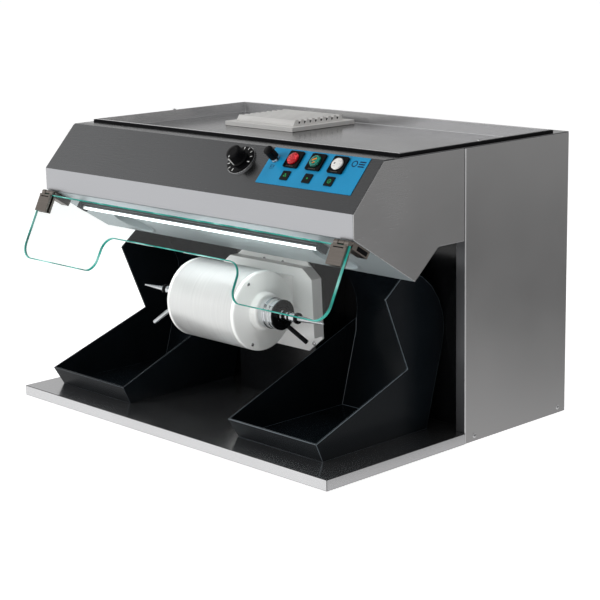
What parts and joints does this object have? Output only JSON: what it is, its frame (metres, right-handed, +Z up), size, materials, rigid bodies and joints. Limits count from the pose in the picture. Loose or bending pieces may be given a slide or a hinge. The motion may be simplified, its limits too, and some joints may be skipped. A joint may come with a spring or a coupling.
{
  "type": "bench polishing unit",
  "caption": "Steel bench cabinet with a double-ended polishing motor between loose dust trays, under a lit extraction hood with a hinged glass shield.",
  "frame": {"origin": "middle of the footprint, on the bench surface", "axes": "+X to the operator's right, +Y from the operator towards the rear panel, +Z up"},
  "size_m": [0.8024, 0.595, 0.5046],
  "materials": {
    "stainless": "brushed",
    "dark_steel": "hairline",
    "black_steel": "satin",
    "silver": "satin",
    "chrome": "polished",
    "tray_plastic": "satin",
    "black_plastic": "matte",
    "vent_plastic": "matte",
    "label": "printed film",
    "red_lens": "gloss",
    "green_lens": "gloss",
    "white_lens": "gloss",
    "glass": "clear",
    "lamp": "opal",
    "rubber": "matte",
    "clamp_metal": "brushed",
    "filter_cloth": "fleece",
    "copper_steel": "laminated"
  },
  "bodies": {
    "frame": {"base_pan": "stainless", "side_panel_left": "stainless", "side_panel_right": "stainless", "rear_panel": "stainless", "bulkhead": "black_steel", "mains_inlet": "black_plastic", "hood_cheek_left": "stainless", "hood_cheek_right": "stainless", "fascia": "dark_steel", "hood_underside": "stainless", "suction_port_left": "stainless", "suction_port_right": "stainless", "hood_floor": "stainless", "top_frame": "stainless", "lid_gasket": "rubber", "lid_tray": "stainless", "vent_base": "vent_plastic", "filter_mat": "filter_cloth", "exhaust_duct": "black_plastic", "blower_motor": "silver", "blower_inlet_plate": "black_steel", "filter_cartridge": "filter_cloth", "control_label": "label", "button_bezel_red": "black_plastic", "button_bezel_green": "black_plastic", "button_bezel_white": "black_plastic", "indicator_window_red": "black_plastic", "indicator_window_green": "black_plastic", "indicator_window_white": "black_plastic", "dial_plate": "black_plastic", "small_knob_collar": "silver", "lamp_batten": "silver", "lamp_tube": "lamp", "motor_housing": "silver", "stator": "copper_steel", "motor_end_cap_left": "silver", "motor_end_cap_right": "silver", "bearing_left": "chrome", "bearing_right": "chrome", "motor_bracket": "silver", "motor_pedestal": "black_steel", "hinge_arm_left": "clamp_metal", "hinge_arm_right": "clamp_metal"},
    "glass_door": {"glass_shield": "glass", "glass_clamp_left": "clamp_metal", "glass_clamp_right": "clamp_metal"},
    "tray_left": {"dust_tray_left": "tray_plastic"},
    "tray_right": {"dust_tray_right": "tray_plastic"},
    "spindle": {"rotor_shaft": "copper_steel", "spindle_left": "chrome", "spindle_right": "chrome"},
    "lever_left": {"release_lever_left": "chrome"},
    "lever_right": {"release_lever_right": "black_steel"},
    "button_red": {"button_cap_red": "red_lens"},
    "button_green": {"button_cap_green": "green_lens"},
    "button_white": {"button_cap_white": "white_lens"},
    "dial": {"dial_knob": "black_plastic"},
    "knob": {"small_knob": "black_plastic"},
    "vent_door": {"vent_cover": "vent_plastic"},
    "impeller": {"blower_impeller": "black_plastic"}
  },
  "joints": [
    {"name": "glass_hinge", "type": "hinge", "parent": "frame", "child": "glass_door", "pos_m": [0, -0.2354, 0.378], "axis": [-1, 0, 0], "range_deg": [0, 100]},
    {"name": "tray_left_slide", "type": "slide", "parent": "frame", "child": "tray_left", "axis": [0, -1, 0], "range_m": [0, 0.12]},
    {"name": "tray_right_slide", "type": "slide", "parent": "frame", "child": "tray_right", "axis": [0, -1, 0], "range_m": [0, 0.12]},
    {"name": "spindle_turn", "type": "hinge", "parent": "frame", "child": "spindle", "pos_m": [0, -0.1345, 0.2086], "axis": [1, 0, 0], "continuous": true},
    {"name": "lever_left_turn", "type": "hinge", "parent": "frame", "child": "lever_left", "pos_m": [-0.127, -0.1345, 0.2086], "axis": [-1, 0, 0], "range_deg": [0, 40]},
    {"name": "lever_right_turn", "type": "hinge", "parent": "frame", "child": "lever_right", "pos_m": [0.127, -0.1345, 0.2086], "axis": [1, 0, 0], "range_deg": [0, 40]},
    {"name": "button_red_press", "type": "slide", "parent": "frame", "child": "button_red", "axis": [0, 0.7338, -0.6794], "range_m": [0, 0.003], "stiffness_N_per_m": 400, "springref_m": -0.002},
    {"name": "button_green_press", "type": "slide", "parent": "frame", "child": "button_green", "axis": [0, 0.7338, -0.6794], "range_m": [0, 0.003], "stiffness_N_per_m": 400, "springref_m": -0.002},
    {"name": "button_white_press", "type": "slide", "parent": "frame", "child": "button_white", "axis": [0, 0.7338, -0.6794], "range_m": [0, 0.003], "stiffness_N_per_m": 400, "springref_m": -0.002},
    {"name": "dial_turn", "type": "hinge", "parent": "frame", "child": "dial", "pos_m": [0.095, -0.1816, 0.472], "axis": [0, 0.7338, -0.6794], "range_deg": [0, 270]},
    {"name": "knob_turn", "type": "hinge", "parent": "frame", "child": "knob", "pos_m": [0.1708, -0.1736, 0.4807], "axis": [0, 0.7338, -0.6794], "range_deg": [0, 270]},
    {"name": "vent_hinge", "type": "hinge", "parent": "frame", "child": "vent_door", "pos_m": [-0.149, 0.2225, 0.4909], "axis": [-1, 0, 0], "range_deg": [0, 70]},
    {"name": "impeller_turn", "type": "hinge", "parent": "frame", "child": "impeller", "pos_m": [-0.149, 0.159, 0.37], "axis": [0, 0, 1], "continuous": true}
  ]
}
